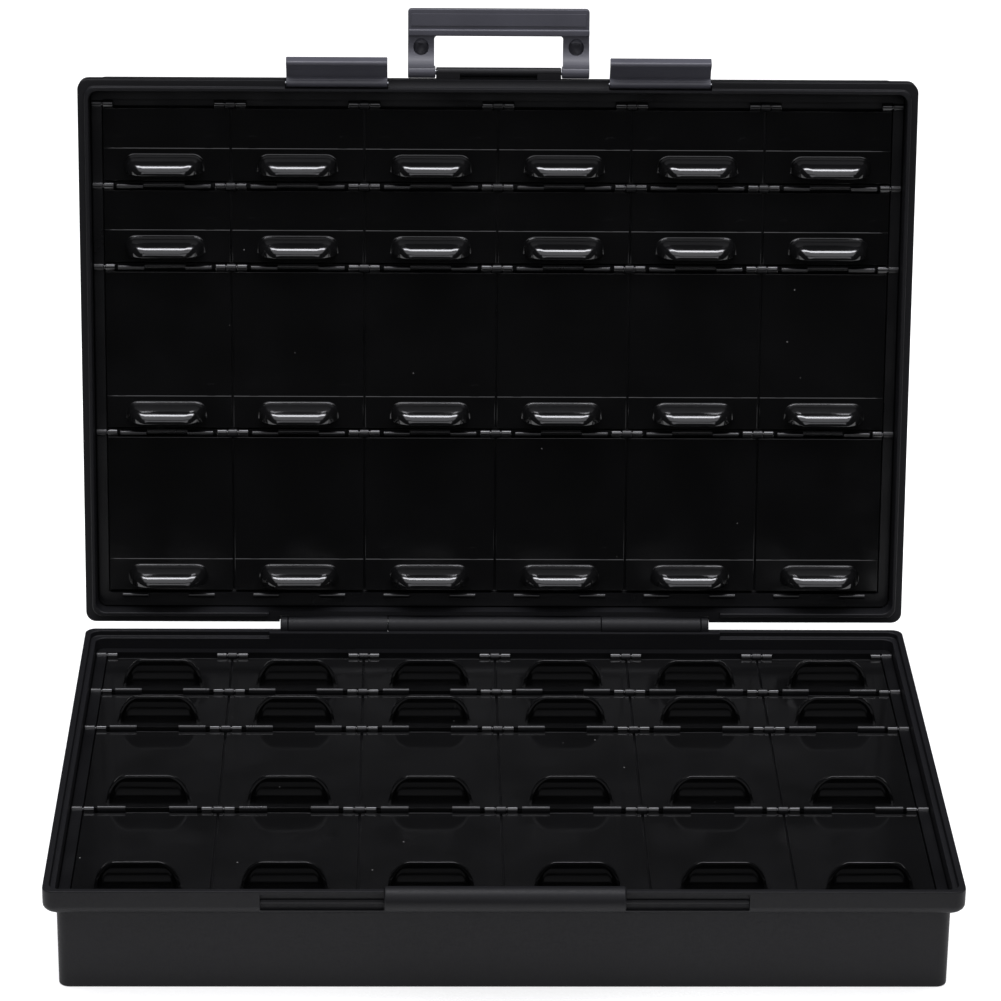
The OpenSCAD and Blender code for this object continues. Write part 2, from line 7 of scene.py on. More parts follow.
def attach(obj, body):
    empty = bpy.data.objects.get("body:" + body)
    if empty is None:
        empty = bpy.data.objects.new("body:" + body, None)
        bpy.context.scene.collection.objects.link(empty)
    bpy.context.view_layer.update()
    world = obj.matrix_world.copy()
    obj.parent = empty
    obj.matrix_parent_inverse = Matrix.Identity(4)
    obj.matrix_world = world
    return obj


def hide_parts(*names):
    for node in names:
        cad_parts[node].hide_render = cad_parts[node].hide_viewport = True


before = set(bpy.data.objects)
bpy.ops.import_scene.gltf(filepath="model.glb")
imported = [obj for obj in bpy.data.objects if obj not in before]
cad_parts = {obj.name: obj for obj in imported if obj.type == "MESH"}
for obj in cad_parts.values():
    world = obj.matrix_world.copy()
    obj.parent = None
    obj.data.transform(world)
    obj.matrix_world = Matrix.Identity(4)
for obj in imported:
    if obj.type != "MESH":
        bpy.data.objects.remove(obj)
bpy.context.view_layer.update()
mm = 0.001
print("frame loaded:", len(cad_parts), "nodes")

# Sizes that several pieces share, in millimetres
box = {
    "halfWidth": 131.0,
    "halfDepth": 87.5,
    "halfHeight": 33.0,
    "rimGap": 0.3,
    "hingeBack": 1.4,
    "lidOpen": 99.0,
    "pitch": 41.9,
    "lines": (8.4, 34.4, 60.4, 114.0, 167.6),  # hinge and catch lines from the rim's outer edge
    "axisHeight": 27.2,  # axes of the small lids
    "clear": 0.3,  # room between pieces that move against each other
    "sink": 0.3,  # how far a moulded-on piece runs into its wall
}
rimY, rimTop = box["halfDepth"], box["halfHeight"]
hingeY = rimY + box["hingeBack"]
hingeZ = rimTop + box["rimGap"] / 2
lidRim = rimTop + box["rimGap"]
clear, sink = box["clear"], box["sink"]
slack = 0.01  # tolerance when points and edges are picked by their place


def turnAbout(y, z, degrees):
    # turn about an axis along X through a point given in millimetres
    there = Matrix.Translation((0, y * mm, z * mm))
    return there @ Matrix.Rotation(math.radians(degrees), 4, "X") @ there.inverted()


openLid = turnAbout(hingeY, hingeZ, -box["lidOpen"])  # shut lid half to its open place
flipOver = turnAbout(0, hingeZ, 180)  # base half to the shut lid half


# Small modelling steps, all sizes in millimetres
def clearPick():
    if bpy.context.object and bpy.context.object.mode != "OBJECT":
        bpy.ops.object.mode_set(mode="OBJECT")
    bpy.ops.object.select_all(action="DESELECT")


def makeActive(obj):
    clearPick()
    obj.select_set(True)
    bpy.context.view_layer.objects.active = obj


def settle(obj, matrix=None):
    # moves the object by a matrix and puts its place into its mesh
    if matrix is not None:
        obj.matrix_world = matrix @ obj.matrix_world
    makeActive(obj)
    bpy.ops.object.transform_apply(location=True, rotation=True, scale=True)
    return obj


def span(side, near, far):
    # ends of a stretch between two distances from the middle, on one side
    return sorted((side * near, side * far))


def alongX(a, b):
    return abs(a.y - b.y) < slack and abs(a.z - b.z) < slack


def upright(a, b):
    return abs(a.x - b.x) < slack and abs(a.y - b.y) < slack


def pick(obj, kind, wanted):
    # edit mode with only the wanted verts, edges or faces selected
    makeActive(obj)
    mesh = obj.data
    for parts in (mesh.vertices, mesh.edges, mesh.polygons):
        parts.foreach_set("select", [False] * len(parts))
    if kind == "VERT":
        for v in mesh.vertices:
            v.select = wanted(v.co / mm)
    elif kind == "EDGE":
        for e in mesh.edges:
            a, b = (mesh.vertices[i].co / mm for i in e.vertices)
            e.select = wanted(a, b)
    else:
        for f in mesh.polygons:
            f.select = wanted(f.center / mm, f.normal)
    bpy.context.tool_settings.mesh_select_mode = (kind == "VERT", kind == "EDGE", kind == "FACE")
    bpy.ops.object.mode_set(mode="EDIT")


def roundEdges(obj, radius, steps, wanted=lambda a, b: True):
    pick(obj, "EDGE", wanted)
    bpy.ops.mesh.bevel(offset=radius * mm, segments=steps, affect="EDGES", clamp_overlap=True)
    bpy.ops.object.mode_set(mode="OBJECT")
    return obj


def sliceAt(obj, point, normal, **options):
    # crosses the piece with a plane; the options say what is cleared and filled
    pick(obj, "FACE", lambda c, n: True)
    bpy.ops.mesh.bisect(plane_co=[v * mm for v in point], plane_no=normal, **options)
    bpy.ops.object.mode_set(mode="OBJECT")
    return obj


def trimBehind(obj, y):
    # cuts away what lies behind a plane across Y
    return sliceAt(obj, (0, y, 0), (0, 1, 0), use_fill=True, clear_outer=True)


def shiftPoints(obj, wanted, y=0.0, z=0.0):
    pick(obj, "VERT", wanted)
    bpy.ops.transform.translate(value=(0, y * mm, z * mm))
    bpy.ops.object.mode_set(mode="OBJECT")


def blockAt(low, high, radius=0.2, steps=2):
    # box between two corners, its edges rounded
    clearPick()
    middle = [(a + b) / 2 * mm for a, b in zip(low, high)]
    bpy.ops.mesh.primitive_cube_add(size=1, location=middle)
    obj = bpy.context.object
    obj.scale = [(b - a) * mm for a, b in zip(low, high)]
    settle(obj)
    return roundEdges(obj, radius, steps) if radius else obj


def rodAt(radius, lowX, highX, y, z, rim=0.2, sides=40):
    # round bar along X with rounded ends
    clearPick()
    bpy.ops.mesh.primitive_cylinder_add(
        vertices=sides, radius=radius * mm, depth=(highX - lowX) * mm,
        location=((lowX + highX) / 2 * mm, y * mm, z * mm), rotation=(0, math.radians(90), 0))
    obj = settle(bpy.context.object)
    return roundEdges(obj, rim, 3, lambda a, b: abs(a.x - b.x) < slack) if rim else obj


def discAt(radius, x, y, lowZ, highZ, rim=0.1, sides=36):
    # upright round pad with a rounded top edge
    clearPick()
    bpy.ops.mesh.primitive_cylinder_add(vertices=sides, radius=radius * mm, depth=(highZ - lowZ) * mm,
                                        location=(x * mm, y * mm, (lowZ + highZ) / 2 * mm))
    obj = settle(bpy.context.object)
    return roundEdges(obj, rim, 2, lambda a, b: min(a.z, b.z) > highZ - slack)


def liftOutline(stations, corner, steps=7):
    # rounded outline raised through stations of half width, half depth and height
    wide, deep, high = stations[0]
    clearPick()
    bpy.ops.mesh.primitive_plane_add(size=2, location=(0, 0, high * mm))
    obj = bpy.context.object
    obj.scale = (wide * mm, deep * mm, 1)
    settle(obj)
    pick(obj, "VERT", lambda p: True)
    bpy.ops.mesh.bevel(offset=corner * mm, segments=steps, affect="VERTICES", clamp_overlap=True)
    bpy.ops.mesh.select_mode(type="FACE")
    bpy.ops.mesh.select_all(action="SELECT")
    for w, d, z in stations[1:]:
        bpy.ops.mesh.extrude_region_move(
            TRANSFORM_OT_translate={"value": (0, 0, (z - high) * mm), "orient_type": "GLOBAL"})
        bpy.ops.transform.resize(value=(w / wide, d / deep, 1), center_override=(0, 0, z * mm))
        wide, deep, high = w, d, z
    bpy.ops.mesh.select_all(action="SELECT")
    bpy.ops.mesh.normals_make_consistent(inside=False)
    bpy.ops.object.mode_set(mode="OBJECT")
    return obj


def cutWith(obj, *tools):
    for tool in tools:
        makeActive(obj)
        step = obj.modifiers.new("cut", "BOOLEAN")
        step.operation = "DIFFERENCE"
        step.solver = "EXACT"
        step.object = tool
        bpy.ops.object.modifier_apply(modifier=step.name)
        bpy.data.objects.remove(tool)
    return obj


def joinAll(pieces, name):
    makeActive(pieces[0])
    for other in pieces[1:]:
        other.select_set(True)
    bpy.ops.object.join()
    obj = bpy.context.object
    obj.name = obj.data.name = name
    return obj


def twin(obj, matrix):
    # a copy with its own mesh, moved by a matrix
    other = obj.copy()
    other.data = obj.data.copy()
    bpy.context.scene.collection.objects.link(other)
    return settle(other, matrix)


def moved(x=0.0, y=0.0, z=0.0):
    return Matrix.Translation((x * mm, y * mm, z * mm))


def repeatAlong(obj, count, step):
    makeActive(obj)
    row = obj.modifiers.new("row", "ARRAY")
    row.count = count
    row.use_relative_offset = False
    row.use_constant_offset = True
    row.constant_offset_displace = (step * mm, 0, 0)
    bpy.ops.object.modifier_apply(modifier=row.name)
    return obj


def softenEdges(obj, width, steps=3, angle=40):
    makeActive(obj)
    soft = obj.modifiers.new("softEdges", "BEVEL")
    soft.width = width * mm
    soft.segments = steps
    soft.limit_method = "ANGLE"
    soft.angle_limit = math.radians(angle)
    bpy.ops.object.modifier_apply(modifier=soft.name)
    return obj


def smoothBy(obj, angle):
    makeActive(obj)
    bpy.ops.object.shade_smooth_by_angle(angle=math.radians(angle))


def shadeOff(obj, angle=32):
    # smooth over the roundings, with flat faces kept flat
    smoothBy(obj, angle)
    weigh = obj.modifiers.new("flatFaces", "WEIGHTED_NORMAL")
    weigh.keep_sharp = True
    bpy.ops.object.modifier_apply(modifier=weigh.name)
    return obj


# Materials
def linear(code):
    # sRGB hex to the linear colour that a shader takes
    parts = [int(code[i:i + 2], 16) / 255 for i in (1, 3, 5)]
    return tuple(c / 12.92 if c <= 0.04045 else ((c + 0.055) / 1.055) ** 2.4 for c in parts) + (1.0,)


def addNode(tree, kind, settings, *links):
    # adds a node, sets its values and sockets, and links sources into it
    node = tree.nodes.new(kind)
    for key, value in settings.items():
        if isinstance(key, int) or key in node.inputs:
            node.inputs[key].default_value = value
        else:
            setattr(node, key, value)
    for socket, source in links:
        tree.links.new(source, node.inputs[socket])
    return node


def startMaterial(name):
    mat = bpy.data.materials.new(name)
    mat.use_nodes = True
    mat.node_tree.nodes.clear()
    tree = mat.node_tree
    spot = addNode(tree, "ShaderNodeTexCoord", {}).outputs["Object"]
    return mat, tree, spot


def closeMaterial(tree, shader):
    addNode(tree, "ShaderNodeOutputMaterial", {}, ("Surface", shader.outputs[0]))


def perMetre(size):
    # texture scale that gives a pattern of about this size in millimetres
    return 1.0 / (size * mm)


def noiseOf(tree, spot, size, **settings):
    return addNode(tree, "ShaderNodeTexNoise", {"Scale": perMetre(size), **settings}, ("Vector", spot)).outputs["Fac"]


def toneOf(tree, look, mask):
    # colour between a look's dark and pale tones
    colours = {"data_type": "RGBA", 6: linear(look["dark"]), 7: linear(look["pale"])}
    return addNode(tree, "ShaderNodeMix", colours, (0, mask)).outputs[2]


def stretch(tree, value, before, after):
    # maps one range of values to another
    ends = {"From Min": before[0], "From Max": before[1], "To Min": after[0], "To Max": after[1]}
    return addNode(tree, "ShaderNodeMapRange", ends, ("Value", value)).outputs[0]


def bumpOf(tree, look, height):
    strength, depth = look["bump"]
    relief = {"Strength": strength, "Distance": depth * mm}
    return addNode(tree, "ShaderNodeBump", relief, ("Height", height)).outputs[0]


def darkPlastic(name, look):
    # clouded tone, fine grain in the bump, and a gloss that follows the grain or the clouds
    mat, tree, spot = startMaterial(name)
    masks = {kind: noiseOf(tree, spot, look[kind][0], Detail=look[kind][1]) for kind in ("cloud", "grain")}
    tone = toneOf(tree, look, masks["cloud"])
    sheen = stretch(tree, masks[look["glossBy"]], look["spread"], look["rough"])
    bump = bumpOf(tree, look, masks["grain"])
    plastic = addNode(tree, "ShaderNodeBsdfPrincipled", {"IOR": look["ior"], "Specular IOR Level": look["specular"]},
                      ("Base Color", tone), ("Roughness", sheen), ("Normal", bump))
    closeMaterial(tree, plastic)
    return mat


# Moulded ABS with a spark-eroded grain: an even black with a fine matt sparkle and soft broad highlights.
# The real grain is about 0.1 mm, drawn at 0.45 mm so that it shows.
shellLook = {
    "dark": "#0a0a0c", "pale": "#101013",
    "cloud": (38.0, 4.0), "grain": (0.45, 2.0),  # size and detail
    "glossBy": "grain", "spread": (0.3, 0.7), "rough": (0.45, 0.6),
    "bump": (0.22, 0.06),  # strength and depth
    "ior": 1.53, "specular": 0.18,
}
mouldedAbs = darkPlastic("mouldedAbs", shellLook)

# Polished polystyrene: a deep black with sharp reflections, slightly wavy from the mould, with haze and dust
lidLook = {
    "dark": "#090909", "pale": "#0e0e0f",
    "haze": 16.0, "wave": 22.0,
    "spread": (0.35, 0.7), "rough": (0.09, 0.16),
    "dust": 11.0, "dustColour": "#9a9a98", "dustEdge": (0.013, 0.024), "dustCover": (0.55, 0.0),
    "bump": (0.35, 0.5), "ior": 1.55,
}
polishedStyrene, tree, spot = startMaterial("polishedStyrene")
haze = noiseOf(tree, spot, lidLook["haze"], Detail=5.0, Roughness=0.6)
wave = noiseOf(tree, spot, lidLook["wave"], Detail=1.0)
speck = addNode(tree, "ShaderNodeTexVoronoi", {"Scale": perMetre(lidLook["dust"])}, ("Vector", spot))
isDust = stretch(tree, speck.outputs["Distance"], lidLook["dustEdge"], lidLook["dustCover"])
tone = toneOf(tree, lidLook, haze)
dusty = addNode(tree, "ShaderNodeMix", {"data_type": "RGBA", 7: linear(lidLook["dustColour"])},
                (0, isDust), (6, tone))
sheen = stretch(tree, haze, lidLook["spread"], lidLook["rough"])
plastic = addNode(tree, "ShaderNodeBsdfPrincipled", {"IOR": lidLook["ior"]}, ("Base Color", dusty.outputs[2]),
                  ("Roughness", sheen), ("Normal", bumpOf(tree, lidLook, wave)))
closeMaterial(tree, plastic)

# Satin ABS straight from a plain mould: a smooth black with a soft gloss on the ribs and knuckles
trayLook = {
    "dark": "#070708", "pale": "#0c0c0e",
    "cloud": (20.0, 3.0), "grain": (0.6, 1.0),
    "glossBy": "cloud", "spread": (0.3, 0.7), "rough": (0.26, 0.36),
    "bump": (0.08, 0.05), "ior": 1.53, "specular": 0.4,
}
satinAbs = darkPlastic("satinAbs", trayLook)

# Nylon for the latches and the handle: a tough dark grey with a silky sheen and a faint grain
nylonLook = {
    "dark": "#34343a", "pale": "#404047",
    "cloud": (14.0, 4.0), "grain": (0.5, 2.0),
    "glossBy": "grain", "spread": (0.3, 0.7), "rough": (0.3, 0.4),
    "bump": (0.18, 0.05), "ior": 1.53, "specular": 0.3,
}
silkNylon = darkPlastic("silkNylon", nylonLook)

# Drawn steel wire: bright, with fine lines along its length
wireLook = {"dark": "#8d8f92", "pale": "#b4b6b9", "line": 0.12, "stretch": (0.02, 1.0, 1.0), "rough": 0.28}
drawnSteel, tree, spot = startMaterial("drawnSteel")
along = addNode(tree, "ShaderNodeMapping", {"Scale": wireLook["stretch"]}, ("Vector", spot)).outputs[0]
tone = toneOf(tree, wireLook, noiseOf(tree, along, wireLook["line"]))
steel = addNode(tree, "ShaderNodeBsdfPrincipled", {"Metallic": 1.0, "Roughness": wireLook["rough"]},
                ("Base Color", tone))
closeMaterial(tree, steel)
for pin in ("hinge_pin", "latch_pin_left", "latch_pin_right", "handle_pin"):
    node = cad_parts[pin]
    if node.data.materials:
        node.material_slots[0].material = drawnSteel
    else:
        node.data.materials.append(drawnSteel)
print("materials made")


def dress(obj, mat, slotName, body, *nodes):
    obj.data.materials.clear()
    obj.data.materials.append(mat)
    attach(obj, body)
    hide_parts(*nodes)


# Half shells: one section lifted round the rim, then the cuts and the pieces moulded on
shell = {
    "flangeOut": 3.6,
    "flangeFoot": 25.0,
    "cornerRound": 3.2,  # under the flange, and the lid half's outer edge
    "footRound": 0.6,  # the base half's bottom edge
    "planRound": 3.0,  # corners seen from above
    "rim": 3.5,
    "ledge": 26.2,
    "wall": 5.8,  # inside of the wall from the rim's outer edge
    "floor": 2.0,
    "seat": 1.9,  # flat of the base rim
    "seatFoot": 31.2,
    "tongue": (2.2, 3.4),
    "tongueTop": 34.5,
    "tongueCut": (0.5, 1.0, 5.0, 0.02),  # margins of the rear cut: inside, outside, below, at the rim
    "land": 72.2,  # half length of the rear rim's stretch without tongue and seat
    "edge": 0.35,
}


def quarterRound(inset, foot, radius, steps=6):
    # section points from an underside round to an upright wall
    turns = [math.pi / 2 * k / steps for k in range(steps + 1)]
    return [(inset + radius * (1 - math.sin(t)), foot + radius * (1 - math.cos(t))) for t in turns]


def halfShell(rimSection, footRound):
    section = quarterRound(shell["flangeOut"], 0, footRound)
    section += [(shell["flangeOut"], shell["flangeFoot"])]
    section += quarterRound(0, shell["flangeFoot"], shell["cornerRound"])
    section += [(0, rimTop)] + rimSection
    section += [(shell["rim"], shell["ledge"]), (shell["wall"], shell["ledge"]), (shell["wall"], shell["floor"])]
    stations = [(box["halfWidth"] - inset, rimY - inset, z) for inset, z in section]
    return softenEdges(liftOutline(stations, shell["planRound"]), shell["edge"])


hinge = {
    "barrel": 3.3,
    "middle": 34.2,  # half length of the base half's knuckle
    "sideEnd": 66.0,  # outer end of the lid half's webs
    "ring": (66.3, 68.7),
    "line": 0.06,  # gap at each end of the lid half's knuckles
    "root": 1.0,  # the webs start this far inside the wall
    "web": 6.0,
    "webEnd": 0.5,  # and end this far from the axis
    "ringWeb": 1.6,
    "stop": (5.0, 33.48),  # reach behind the axis, top
    "pin": 1.27,
    "boreEnd": 1.0,  # the pin's bore is cut this far past a ring
    "room": 0.3,
}
front = {
    "recess": (34.2, 69.4),
    "recessHeight": (26.8, 32.2),
    "recessDepth": 1.3,
    "cutOut": 4.0,  # cuts in the front wall start this far outside it
    "ridge": (0.8, 29.3, 0.1),  # radius, height, gap at its ends
    "rail": (3.7, 34.2, -87.3, 30.6),  # radius, half length, axis
    "railBack": -85.6,
}
barrelRoom = hinge["barrel"] + hinge["room"]
ringIn, ringOut = hinge["ring"]
ridgeRadius, ridgeZ, ridgeGap = front["ridge"]
recessFoot, recessTop = front["recessHeight"]
recessY = -rimY + front["recessDepth"]

baseShell = halfShell([(shell["seat"], rimTop), (shell["seat"], shell["seatFoot"]),
                       (shell["rim"], shell["seatFoot"])], shell["footRound"])
land = blockAt((-shell["land"], rimY - shell["rim"], shell["seatFoot"] - sink),
               (shell["land"], rimY - shell["seat"] + sink, rimTop), radius=0.15)
added = [land]
for side in (-1, 1):
    lowX, highX = span(side, *front["recess"])
    cutWith(baseShell, blockAt((lowX, -rimY - front["cutOut"], recessFoot), (highX, recessY, recessTop), radius=0.35))
    for half in (baseShell, land):
        cutWith(half, rodAt(barrelRoom, *span(side, hinge["middle"], ringIn), hingeY, hingeZ, rim=0))
    added.append(rodAt(ridgeRadius, lowX + ridgeGap, highX - ridgeGap, recessY, ridgeZ, rim=0.1))
    ringLow, ringHigh = span(side, ringIn, ringOut)
    ring = rodAt(hinge["barrel"], ringLow, ringHigh, hingeY, hingeZ, rim=0.35)
    bore = rodAt(hinge["pin"], ringLow - hinge["boreEnd"], ringHigh + hinge["boreEnd"], hingeY, hingeZ, rim=0)
    added.append(cutWith(ring, bore))
    added.append(blockAt((ringLow, rimY - hinge["root"], hingeZ - hinge["web"]),
                         (ringHigh, hingeY - hinge["ringWeb"], hingeZ), radius=0.3))
railRadius, railHalf, railY, railZ = front["rail"]
rail = rodAt(railRadius, -railHalf, railHalf, railY, railZ, rim=0.5, sides=64)
added.append(trimBehind(rail, front["railBack"]))
added.append(rodAt(hinge["barrel"], -hinge["middle"], hinge["middle"], hingeY, hingeZ, rim=0.3, sides=56))
added.append(blockAt((-hinge["middle"], rimY - hinge["root"], hingeZ - hinge["web"]),
                     (hinge["middle"], hingeY, hingeZ - hinge["webEnd"]), radius=0.3))
added.append(blockAt((-hinge["middle"], hingeY, hingeZ - hinge["barrel"]),
                     (hinge["middle"], hingeY + hinge["stop"][0], hinge["stop"][1]), radius=0.6, steps=3))
baseShell = shadeOff(joinAll([baseShell] + added, "baseShellSkin"))
dress(baseShell, mouldedAbs, "shell_plastic", "base", "base_shell")
print("base shell made")

latch = {
    "middle": 50.4,
    "half": 15.75,
    "axis": (-86.4, 35.2),
    "eye": 1.3,
    "arm": 33.7,  # foot of the arm between flap and eye
    "armLap": (0.6, 0.4),  # how far the arm runs into the flap and past the axis
    "flap": (-89.8, -87.8),  # outer and inner face, shut
    "flapHeight": (27.3, 35.9),
    "nose": (-86.6, 28.2, 31.0),  # reach, top of its full reach, top of its ramp
    "tipRound": 0.45,
    "noseRound": 0.85,
    "crestRound": 1.2,
    "armRound": (0.9, 1.1),  # inner foot, outer top
    "edge": 0.2,
    "open": 60.0,
    "room": (-84.8, 39.5),  # back and top of the opening in the flange
    "roomFoot": 3.0,  # the opening's cut starts this far below the lid's rim
}
handle = {
    "axis": (-89.7, 37.7),
    "eye": 1.9,
    "eyeReach": 0.4,  # the eyes stand this far inside the legs
    "bar": (1.5, 19.5),  # radius, half length
    "barRoot": 1.0,  # the bar's ends start this far inside the wall
    "slot": 12.0,  # half length of the gap behind the bar
    "slotLap": 0.5,
    "web": 0.8,  # closes that gap on the outside
    "half": 28.3,
    "leg": 20.1,  # inner side of a leg
    "legEnd": (0.6, 0.2, 1.3),  # short of the eye's back, below the plate's top, below the axis
    "plate": (39.6, 41.8),
    "end": -109.2,
    "gripFoot": -100.8,
    "corner": 1.1,  # corners of the grip and of the window
    "edge": 0.45,
    "windowPast": (8.0, 5.0),  # how far the window's cut runs past the axis and the plate
    "lip": (-102.9, 38.3),
    "lipLap": 1.0,
    "pad": (-107.7, -103.8, 0.22),  # raised panel on the grip: top, foot, height
    "padInset": 1.0,
    "padLap": 0.5,
    # underside of the legs, from the plate out to the eyes
    "sweep": ((-98.4, 39.6), (-97.0, 39.5), (-95.8, 39.25), (-94.6, 38.65), (-93.5, 37.75), (-92.4, 36.9),
              (-91.2, 36.3)),
    "dimple": (24.2, -97.2, 2.4, 2.8, 1.6),  # middle, half width, half length, depth
}
handleY, handleZ = handle["axis"]
barRadius, barHalf = handle["bar"]
barFoot, barTop, barRootY = handleZ - barRadius, handleZ + barRadius, -rimY + handle["barRoot"]
roomY, roomTop = latch["room"]

lidShell = halfShell([(shell["tongue"][0], rimTop), (shell["tongue"][0], shell["tongueTop"]),
                      (shell["tongue"][1], shell["tongueTop"]), (shell["rim"], rimTop)], shell["cornerRound"])
settle(lidShell, flipOver)
railRoom = rodAt(railRadius + clear, -railHalf - clear, railHalf + clear, railY, railZ, rim=0, sides=64)
trimBehind(railRoom, front["railBack"] + clear)
cutIn, cutOut, cutFoot, cutTop = shell["tongueCut"]
tongueRoom = blockAt((-shell["land"] - clear, rimY - shell["rim"] - cutIn, lidRim - cutFoot),
                     (shell["land"] + clear, rimY - cutOut, lidRim - cutTop), radius=0)
knuckleRoom = rodAt(barrelRoom, -hinge["middle"] - clear, hinge["middle"] + clear, hingeY, hingeZ, rim=0)
cutWith(lidShell, railRoom, tongueRoom, knuckleRoom)
added = []
for side in (-1, 1):
    ringRoom = rodAt(barrelRoom, *span(side, hinge["sideEnd"], ringOut + clear), hingeY, hingeZ, rim=0)
    lowX, highX = span(side, latch["middle"] - latch["half"] - clear, latch["middle"] + latch["half"] + clear)
    latchRoom = blockAt((lowX, -rimY - front["cutOut"], lidRim - latch["roomFoot"]),
                        (highX, roomY, roomTop), radius=0.3)
    cutWith(lidShell, ringRoom, latchRoom)
    lowX, highX = span(side, hinge["middle"] + hinge["line"], ringIn - hinge["line"])
    added.append(rodAt(hinge["barrel"], lowX, highX, hingeY, hingeZ, rim=0.3, sides=56))
    lowX, highX = span(side, hinge["middle"] + clear, hinge["sideEnd"])
    added.append(blockAt((lowX, rimY - hinge["root"], hingeZ + hinge["webEnd"]),
                         (highX, hingeY, hingeZ + hinge["web"]), radius=0.3))
    lowX, highX = span(side, handle["slot"], barHalf)
    added.append(blockAt((lowX, handleY, barFoot), (highX, barRootY, barTop), radius=0.25))
added.append(rodAt(barRadius, -barHalf, barHalf, handleY, handleZ, rim=0.3))
added.append(blockAt((-handle["slot"] - handle["slotLap"], handleY, barTop - handle["web"]),
                     (handle["slot"] + handle["slotLap"], barRootY, barTop), radius=0.15))
lidShell = shadeOff(joinAll([lidShell] + added, "lidShellSkin"))
settle(lidShell, openLid)
dress(lidShell, mouldedAbs, "shell_plastic", "lid", "lid_shell")
print("lid shell made")

# Trays: a moulded block with the compartments cut out, then the ribs and knuckles on its walls
tray = {
    "rows": 4,
    "columns": 6,
    "cup": (124.9, 81.4),
    "reach": (127.2, 83.7),
    "planRound": 2.4,  # corners seen from above
    "edge": 0.3,
    "foot": 2.4,
    "ledge": 26.2,
    "strip": 27.7,
    "opening": (123.9, -79.1, 80.65),
    "wallTop": 25.5,
    "cellSide": 123.4,
    "cellFloor": 3.6,
    "cutTop": 40.0,  # the cuts end well above the tray
    "halfWall": 0.8,
    "knuckle": (1.25, 1.5),  # radius, half length
    "post": 0.7,
    "rib": (6.5, 14.7, 0.75),  # ends from the compartment's middle, half thickness
    "ribFlat": 0.02,  # half of the flat that is left on a rib's top
    "bridge": (10.6, 0.4, 26.3),
}
rowCount, columnCount = tray["rows"], tray["columns"]
pitch = box["pitch"]
lineY = [rimY - d for d in box["lines"]]
axisZ = box["axisHeight"]
rodRadius, rodHalf = tray["knuckle"]
ribTop = axisZ + rodRadius
wallFoot = tray["wallTop"] - sink  # foot of what stands on the walls


def columnLow(c):
    return (c - columnCount / 2) * pitch


trayBlock = liftOutline([(*tray["cup"], tray["foot"]), (*tray["cup"], tray["ledge"]),
                         (*tray["reach"], tray["ledge"]), (*tray["reach"], tray["strip"])], tray["planRound"])
softenEdges(trayBlock, tray["edge"])
openHalf, openFront, openRear = tray["opening"]
cutWith(trayBlock, blockAt((-openHalf, openFront, tray["wallTop"]), (openHalf, openRear, tray["cutTop"]), radius=0.3))
cells = []
for r in range(rowCount):
    for c in range(columnCount):
        lowX = -tray["cellSide"] if c == 0 else columnLow(c) + tray["halfWall"]
        highX = tray["cellSide"] if c == columnCount - 1 else columnLow(c + 1) - tray["halfWall"]
        cells.append(blockAt((lowX, lineY[r + 1] + tray["halfWall"], tray["cellFloor"]),
                             (highX, lineY[r] - tray["halfWall"], tray["cutTop"]), radius=0.5))
cutWith(trayBlock, joinAll(cells, "cells"))
shadeOff(trayBlock)

rod = rodAt(rodRadius, -rodHalf, rodHalf, 0, axisZ, rim=0.25, sides=28)
post = blockAt((-rodHalf, -tray["post"], wallFoot), (rodHalf, tray["post"], axisZ), radius=0.15)
knuckle = settle(joinAll([rod, post], "knuckle"), moved(x=columnLow(1)))
repeatAlong(knuckle, columnCount - 1, pitch)
ends = [rodAt(rodRadius, *span(side, openHalf, tray["reach"][0]), 0, axisZ, rim=0.25, sides=28) for side in (-1, 1)]
knuckleRow = shadeOff(joinAll([knuckle] + ends, "knuckleRow"))

ribIn, ribOut, ribHalf = tray["rib"]
ribs = []
for side in (-1, 1):
    lowX, highX = span(side, ribIn, ribOut)
    rib = blockAt((lowX, -ribHalf, wallFoot), (highX, ribHalf, ribTop), radius=0)
    roundEdges(rib, ribHalf - tray["ribFlat"], 5, lambda a, b: alongX(a, b) and a.z > ribTop - slack)
    ribs.append(rib)
bridgeHalf, bridgeThin, bridgeTop = tray["bridge"]
ribs.append(blockAt((-bridgeHalf, -bridgeThin, wallFoot), (bridgeHalf, bridgeThin, bridgeTop), radius=0.25))
ribRow = settle(joinAll(ribs, "ribRow"), moved(x=columnLow(0) + pitch / 2))
shadeOff(repeatAlong(ribRow, columnCount, pitch))

rows = [trayBlock]
rows += [twin(knuckleRow, moved(y=y)) for y in lineY[:-1]]
rows += [twin(ribRow, moved(y=y)) for y in lineY[1:]]
for pattern in (knuckleRow, ribRow):
    bpy.data.objects.remove(pattern)
baseTray = joinAll(rows, "baseTraySkin")
lidTray = twin(baseTray, openLid @ flipOver)
lidTray.name = lidTray.data.name = "lidTraySkin"
dress(baseTray, satinAbs, "tray_plastic", "base", "base_tray")
dress(lidTray, satinAbs, "tray_plastic", "lid", "lid_tray")
print("trays made")

